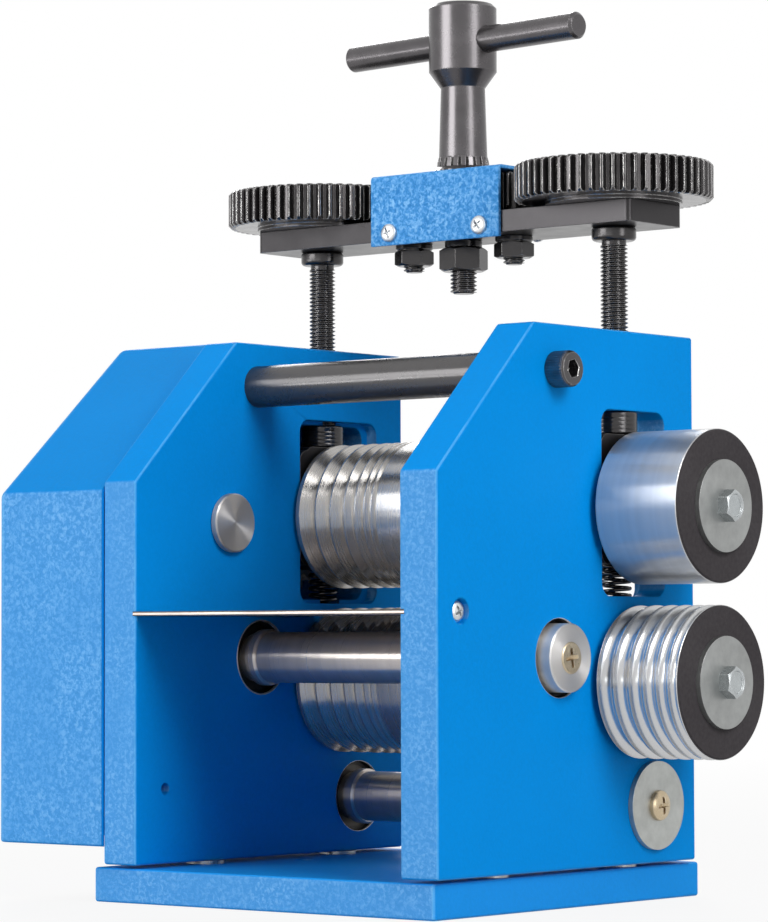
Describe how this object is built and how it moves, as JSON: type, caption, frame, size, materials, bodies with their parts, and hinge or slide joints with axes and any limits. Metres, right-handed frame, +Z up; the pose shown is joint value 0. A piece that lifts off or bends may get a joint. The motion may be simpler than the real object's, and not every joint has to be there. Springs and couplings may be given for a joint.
{
  "type": "jewellers rolling mill",
  "caption": "Bench rolling mill with grooved rolls between side plates, overhung side rolls, a geared crank drive behind a cover and a T handle that sets the roll gap.",
  "frame": {"origin": "on the base plate's underside, midway between the side plates and at the middle of their depth", "axes": "+X along the rolls to the side rolls, -Y to the front with the guide sheet, +Z up to the T handle"},
  "size_m": [0.2835, 0.16, 0.333],
  "materials": {
    "gloss_blue": "smooth powder coat",
    "textured_blue": "hammered powder coat",
    "black_oxide": "black oxide, satin",
    "turned_steel": "turned and polished",
    "gear_steel": "machined",
    "zinc": "zinc plated",
    "yellow_zinc": "yellow zinc plated",
    "bronze": "sintered bronze"
  },
  "bodies": {
    "frame": {"base_plate": "gloss_blue", "side_plate_left": "gloss_blue", "side_plate_right": "gloss_blue", "foot_washers": "zinc", "foot_screws": "black_oxide", "tie_rod": "black_oxide", "tie_rod_screws": "black_oxide", "guide_sheet": "turned_steel", "guide_screws": "zinc", "gear_cover": "textured_blue", "cover_posts": "gear_steel", "cover_screws": "zinc", "plate_bushes": "bronze", "idler_stub": "turned_steel", "idler_retainers": "gear_steel"},
    "lower_roll_set": {"lower_roll": "turned_steel", "lower_roll_gear": "gear_steel", "lower_side_roll": "turned_steel", "lower_side_washer": "zinc", "lower_end_bolt": "zinc", "lower_roll_keys": "gear_steel"},
    "upper_roll_set": {"upper_roll": "turned_steel", "upper_roll_gear": "gear_steel", "upper_side_roll": "turned_steel", "upper_side_washer": "zinc", "upper_end_bolt": "zinc", "upper_roll_keys": "gear_steel"},
    "thrust_ring_set": {"thrust_rings": "bronze"},
    "carriage": {"bearing_block_left": "gear_steel", "bearing_block_right": "gear_steel", "block_bushes": "bronze", "lift_spring_left": "black_oxide", "lift_spring_right": "black_oxide"},
    "layshaft_set": {"layshaft": "turned_steel", "layshaft_gear": "gear_steel", "layshaft_pinion": "gear_steel", "layshaft_cap": "turned_steel", "layshaft_screw": "yellow_zinc"},
    "crank_set": {"crank_shaft": "turned_steel", "crank_pinion": "gear_steel", "crank_washer": "zinc", "crank_screw": "yellow_zinc"},
    "drive_idler": {"idler_gear": "gear_steel", "idler_bush": "bronze"},
    "bridge": {"bridge_bar": "black_oxide", "pinion_cover": "textured_blue", "pinion_cover_screws": "zinc", "idler_studs": "black_oxide", "idler_nuts": "black_oxide"},
    "left_screw": {"adjust_screw_left": "black_oxide", "adjust_gear_left": "black_oxide", "adjust_nut_left": "black_oxide"},
    "right_screw": {"adjust_screw_right": "black_oxide", "adjust_gear_right": "black_oxide", "adjust_nut_right": "black_oxide"},
    "handle": {"handle_spindle": "black_oxide", "handle_bar": "black_oxide", "handle_nut": "black_oxide"},
    "left_idler": {"small_idler_left": "black_oxide"},
    "right_idler": {"small_idler_right": "black_oxide"}
  },
  "joints": [
    {"name": "bridge_lift", "type": "slide", "parent": "frame", "child": "bridge", "axis": [0, 0, 1], "range_m": [-0.00731, 0]},
    {"name": "carriage_lift", "type": "slide", "parent": "frame", "child": "carriage", "axis": [0, 0, 1], "range_m": [-0.00731, 0], "deforming": ["lift_spring_left", "lift_spring_right"]},
    {"name": "handle_turn", "type": "hinge", "parent": "bridge", "child": "handle", "pos_m": [0, 0.038, 0], "axis": [0, 0, 1], "range_deg": [-4680, 0]},
    {"name": "left_screw_turn", "type": "hinge", "parent": "bridge", "child": "left_screw", "pos_m": [-0.06938, 0.038, 0], "axis": [0, 0, 1], "range_deg": [-1755, 0]},
    {"name": "right_screw_turn", "type": "hinge", "parent": "bridge", "child": "right_screw", "pos_m": [0.06938, 0.038, 0], "axis": [0, 0, 1], "range_deg": [-1755, 0]},
    {"name": "left_idler_turn", "type": "hinge", "parent": "bridge", "child": "left_idler", "pos_m": [-0.02375, 0.038, 0], "axis": [0, 0, 1], "range_deg": [0, 5782]},
    {"name": "right_idler_turn", "type": "hinge", "parent": "bridge", "child": "right_idler", "pos_m": [0.02375, 0.038, 0], "axis": [0, 0, 1], "range_deg": [0, 5782]},
    {"name": "roll_phase", "type": "hinge", "parent": "carriage", "child": "thrust_ring_set", "pos_m": [0, 0.038, 0.14175], "axis": [1, 0, 0], "range_deg": [-14.98, 0]},
    {"name": "lower_roll_turn", "type": "hinge", "parent": "frame", "child": "lower_roll_set", "pos_m": [0, 0.038, 0.07925], "axis": [1, 0, 0], "continuous": true},
    {"name": "upper_roll_turn", "type": "hinge", "parent": "thrust_ring_set", "child": "upper_roll_set", "pos_m": [0, 0.038, 0.14175], "axis": [1, 0, 0], "continuous": true},
    {"name": "layshaft_turn", "type": "hinge", "parent": "frame", "child": "layshaft_set", "pos_m": [0, -0.00713, 0.08816], "axis": [1, 0, 0], "continuous": true},
    {"name": "crank_turn", "type": "hinge", "parent": "frame", "child": "crank_set", "pos_m": [0, 0.04954, 0.03457], "axis": [1, 0, 0], "continuous": true},
    {"name": "drive_idler_turn", "type": "hinge", "parent": "frame", "child": "drive_idler", "pos_m": [0, -0.02489, 0.13809], "axis": [1, 0, 0], "continuous": true}
  ],
  "couplings": [
    {"joint": "bridge_lift", "follows": "carriage_lift", "ratio": 1},
    {"joint": "handle_turn", "follows": "carriage_lift", "rad_per_m": 11170},
    {"joint": "left_screw_turn", "follows": "carriage_lift", "rad_per_m": 4188.8},
    {"joint": "right_screw_turn", "follows": "carriage_lift", "rad_per_m": 4188.8},
    {"joint": "left_idler_turn", "follows": "carriage_lift", "rad_per_m": -13798},
    {"joint": "right_idler_turn", "follows": "carriage_lift", "rad_per_m": -13798},
    {"joint": "roll_phase", "follows": "carriage_lift", "rad_per_m": 35.733},
    {"joint": "upper_roll_turn", "follows": "lower_roll_turn", "ratio": -1},
    {"joint": "layshaft_turn", "follows": "lower_roll_turn", "ratio": -1.5556},
    {"joint": "crank_turn", "follows": "lower_roll_turn", "ratio": 8.5556},
    {"joint": "drive_idler_turn", "follows": "lower_roll_turn", "ratio": 0.8}
  ]
}
